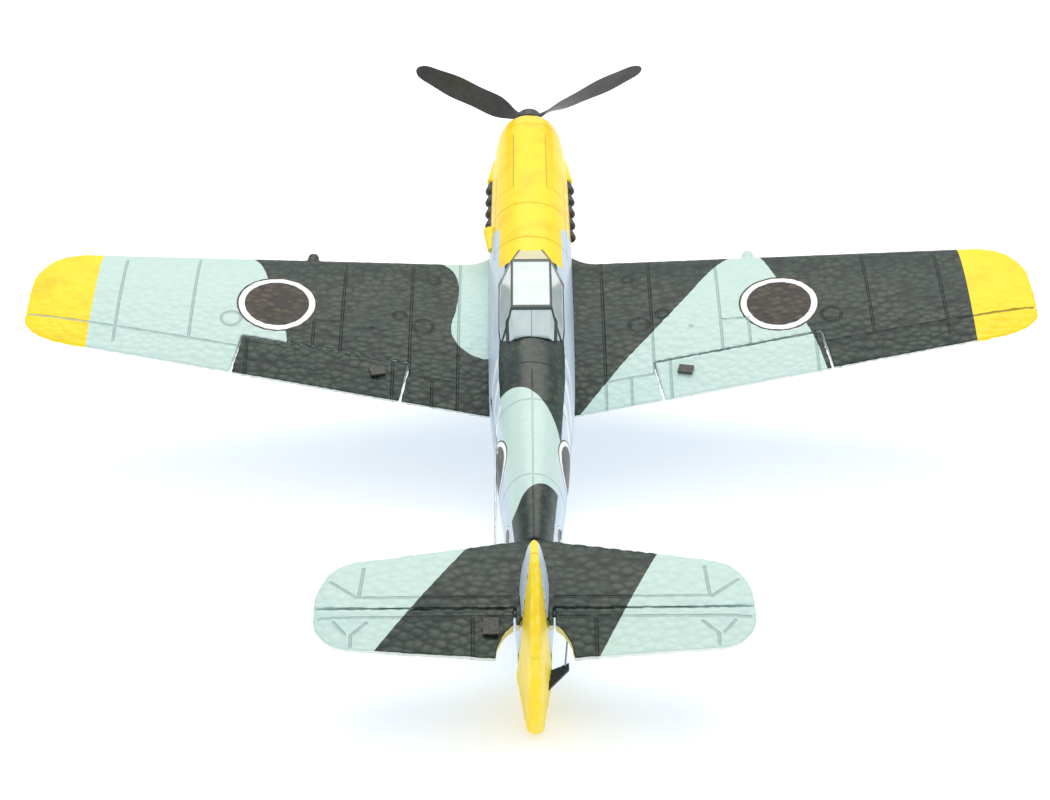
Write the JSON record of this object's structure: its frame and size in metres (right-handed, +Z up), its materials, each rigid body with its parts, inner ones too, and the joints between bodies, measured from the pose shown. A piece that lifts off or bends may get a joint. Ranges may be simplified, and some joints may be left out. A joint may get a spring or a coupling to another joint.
{
  "type": "rc warbird plane",
  "caption": "Small foam low-wing fighter-style RC model with working control surfaces, geared propeller, framed canopy and fixed wire undercarriage.",
  "frame": {"origin": "centre of the bounding box in x and y, on the floor under the three wheels", "axes": "+Y towards the nose, +X towards the right wing tip, +Z up, standing on its wheels with the tail down"},
  "size_m": [0.3996, 0.3496, 0.1146],
  "materials": {
    "painted_foam": "moulded bead foam, painted, hammered surface",
    "canopy_plastic": "thin vacuum-formed sheet, pearl grey panes and painted frames",
    "yellow_plastic": "satin yellow",
    "black_plastic": "moulded satin black nylon",
    "grey_plastic": "moulded grey",
    "servo_plastic": "smooth dark case",
    "white_nylon": "natural nylon",
    "hinge_film": "thin polypropylene film",
    "steel_wire": "drawn steel wire",
    "brass_part": "turned brass",
    "motor_can": "drawn steel can",
    "carbon_rod": "pultruded carbon",
    "battery_wrap": "shrink wrapped pouch cell",
    "circuit_board": "solder mask",
    "foam_tape": "double sided foam tape",
    "plywood": "thin birch plywood",
    "wheel_foam": "dense black foam rubber"
  },
  "bodies": {
    "airframe": {"wing": "painted_foam", "aileron_hinge_strips": "hinge_film", "aileron_servos": "servo_plastic", "gear_mounts": "black_plastic", "gear_leg_right": "steel_wire", "gear_leg_left": "steel_wire", "wing_spars": "carbon_rod", "fuselage_left": "painted_foam", "fuselage_right": "painted_foam", "battery": "battery_wrap", "radio_board": "circuit_board", "board_tape": "foam_tape", "servo_tray": "plywood", "exhaust_stacks": "black_plastic", "air_intake": "yellow_plastic", "canopy": "canopy_plastic", "tail_leg": "steel_wire", "axle_collars": "steel_wire", "tailplane": "painted_foam", "fin": "painted_foam", "tail_hinge_strips": "hinge_film", "elevator_servo": "servo_plastic", "rudder_servo": "servo_plastic", "motor": "motor_can", "motor_mount": "grey_plastic", "nose_plate": "grey_plastic", "shaft_bushes": "brass_part"},
    "propeller_set": {"propeller": "black_plastic", "prop_nut": "steel_wire", "prop_shaft": "steel_wire", "spur_gear": "white_nylon"},
    "motor_rotor": {"motor_shaft": "steel_wire", "pinion": "brass_part"},
    "elevator": {"elevator_left": "painted_foam", "elevator_right": "painted_foam", "elevator_joiner": "carbon_rod", "elevator_horn": "black_plastic", "elevator_horn_plate": "black_plastic"},
    "elevator_servo_arm": {"elevator_servo_arm": "white_nylon"},
    "elevator_pushrod": {"elevator_pushrod": "steel_wire"},
    "rudder": {"rudder": "painted_foam", "rudder_horn": "black_plastic"},
    "rudder_servo_arm": {"rudder_servo_arm": "white_nylon"},
    "rudder_pushrod": {"rudder_pushrod": "steel_wire"},
    "tail_wheel_set": {"tail_wheel": "wheel_foam"},
    "hatch": {"battery_hatch": "painted_foam"},
    "aileron_left": {"aileron_left": "painted_foam", "aileron_horn_left": "black_plastic", "aileron_horn_plate_left": "black_plastic"},
    "aileron_left_servo_arm": {"aileron_servo_arm_left": "white_nylon"},
    "aileron_left_pushrod": {"aileron_pushrod_left": "steel_wire"},
    "wheel_left": {"main_tyre_left": "wheel_foam", "main_wheel_hub_left": "grey_plastic"},
    "aileron_right": {"aileron_right": "painted_foam", "aileron_horn_right": "black_plastic", "aileron_horn_plate_right": "black_plastic"},
    "aileron_right_servo_arm": {"aileron_servo_arm_right": "white_nylon"},
    "aileron_right_pushrod": {"aileron_pushrod_right": "steel_wire"},
    "wheel_right": {"main_tyre_right": "wheel_foam", "main_wheel_hub_right": "grey_plastic"}
  },
  "joints": [
    {"name": "aileron_right_swing", "type": "hinge", "parent": "airframe", "child": "aileron_right", "pos_m": [0.0489, 0.00984, 0.04249], "axis": [0.9831, 0.126, 0.133], "range_deg": [-25, 25]},
    {"name": "aileron_right_servo_turn", "type": "hinge", "parent": "airframe", "child": "aileron_right_servo_arm", "pos_m": [0.05405, 0.04261, 0.05081], "axis": [0.9831, 0.126, 0.133], "range_deg": [-25, 25]},
    {"name": "aileron_right_pushrod_pivot", "type": "hinge", "parent": "aileron_right_servo_arm", "child": "aileron_right_pushrod", "pos_m": [0.0547, 0.04419, 0.04454], "axis": [0.9831, 0.126, 0.133], "range_deg": [-25, 25]},
    {"name": "aileron_left_swing", "type": "hinge", "parent": "airframe", "child": "aileron_left", "pos_m": [-0.0489, 0.00984, 0.04249], "axis": [0.9831, -0.126, -0.133], "range_deg": [-25, 25]},
    {"name": "aileron_left_servo_turn", "type": "hinge", "parent": "airframe", "child": "aileron_left_servo_arm", "pos_m": [-0.05405, 0.04261, 0.05081], "axis": [0.9831, -0.126, -0.133], "range_deg": [-25, 25]},
    {"name": "aileron_left_pushrod_pivot", "type": "hinge", "parent": "aileron_left_servo_arm", "child": "aileron_left_pushrod", "pos_m": [-0.0547, 0.04419, 0.04454], "axis": [0.9831, -0.126, -0.133], "range_deg": [-25, 25]},
    {"name": "elevator_swing", "type": "hinge", "parent": "airframe", "child": "elevator", "pos_m": [0, -0.14441, 0.03327], "axis": [1, 0, 0], "range_deg": [-25, 25]},
    {"name": "elevator_servo_turn", "type": "hinge", "parent": "airframe", "child": "elevator_servo_arm", "pos_m": [-0.0119, 0.01568, 0.05977], "axis": [1, 0, 0], "range_deg": [-25, 25]},
    {"name": "elevator_pushrod_pivot", "type": "hinge", "parent": "elevator_servo_arm", "child": "elevator_pushrod", "pos_m": [-0.0119, 0.01728, 0.05296], "axis": [1, 0, 0], "range_deg": [-25, 25]},
    {"name": "rudder_swing", "type": "hinge", "parent": "airframe", "child": "rudder", "pos_m": [0, -0.14454, 0.00715], "axis": [0, -0.2286, 0.9735], "range_deg": [-25, 25]},
    {"name": "rudder_servo_turn", "type": "hinge", "parent": "airframe", "child": "rudder_servo_arm", "pos_m": [-0.0023, 0.00084, 0.05732], "axis": [0, -0.2286, 0.9735], "range_deg": [-25, 25]},
    {"name": "rudder_pushrod_pivot", "type": "hinge", "parent": "rudder_servo_arm", "child": "rudder_pushrod", "pos_m": [0.008, 0.00084, 0.05732], "axis": [0, -0.2286, 0.9735], "range_deg": [-25, 25]},
    {"name": "propeller_spin", "type": "hinge", "parent": "airframe", "child": "propeller_set", "pos_m": [0, 0.15925, 0.08527], "axis": [0, 0.9735, 0.2286], "continuous": true},
    {"name": "motor_spin", "type": "hinge", "parent": "airframe", "child": "motor_rotor", "pos_m": [0, 0.14237, 0.07141], "axis": [0, 0.9735, 0.2286], "continuous": true},
    {"name": "wheel_right_spin", "type": "hinge", "parent": "airframe", "child": "wheel_right", "pos_m": [0.0424, 0.09868, 0.0125], "axis": [1, 0, 0], "continuous": true},
    {"name": "wheel_left_spin", "type": "hinge", "parent": "airframe", "child": "wheel_left", "pos_m": [-0.0424, 0.09868, 0.0125], "axis": [1, 0, 0], "continuous": true},
    {"name": "tail_wheel_spin", "type": "hinge", "parent": "airframe", "child": "tail_wheel_set", "pos_m": [0, -0.10603, 0.005], "axis": [1, 0, 0], "continuous": true},
    {"name": "battery_hatch_lift", "type": "slide", "parent": "airframe", "child": "hatch", "axis": [0, 0.2286, -0.9735], "range_m": [0, 0.02]}
  ],
  "couplings": [
    {"joint": "aileron_right_servo_turn", "follows": "aileron_right_swing", "ratio": 1},
    {"joint": "aileron_right_pushrod_pivot", "follows": "aileron_right_swing", "ratio": -1},
    {"joint": "aileron_left_servo_turn", "follows": "aileron_left_swing", "ratio": 1},
    {"joint": "aileron_left_pushrod_pivot", "follows": "aileron_left_swing", "ratio": -1},
    {"joint": "elevator_servo_turn", "follows": "elevator_swing", "ratio": 1},
    {"joint": "elevator_pushrod_pivot", "follows": "elevator_swing", "ratio": -1},
    {"joint": "rudder_servo_turn", "follows": "rudder_swing", "ratio": 1},
    {"joint": "rudder_pushrod_pivot", "follows": "rudder_swing", "ratio": -1},
    {"joint": "motor_spin", "follows": "propeller_spin", "ratio": -3.8}
  ]
}
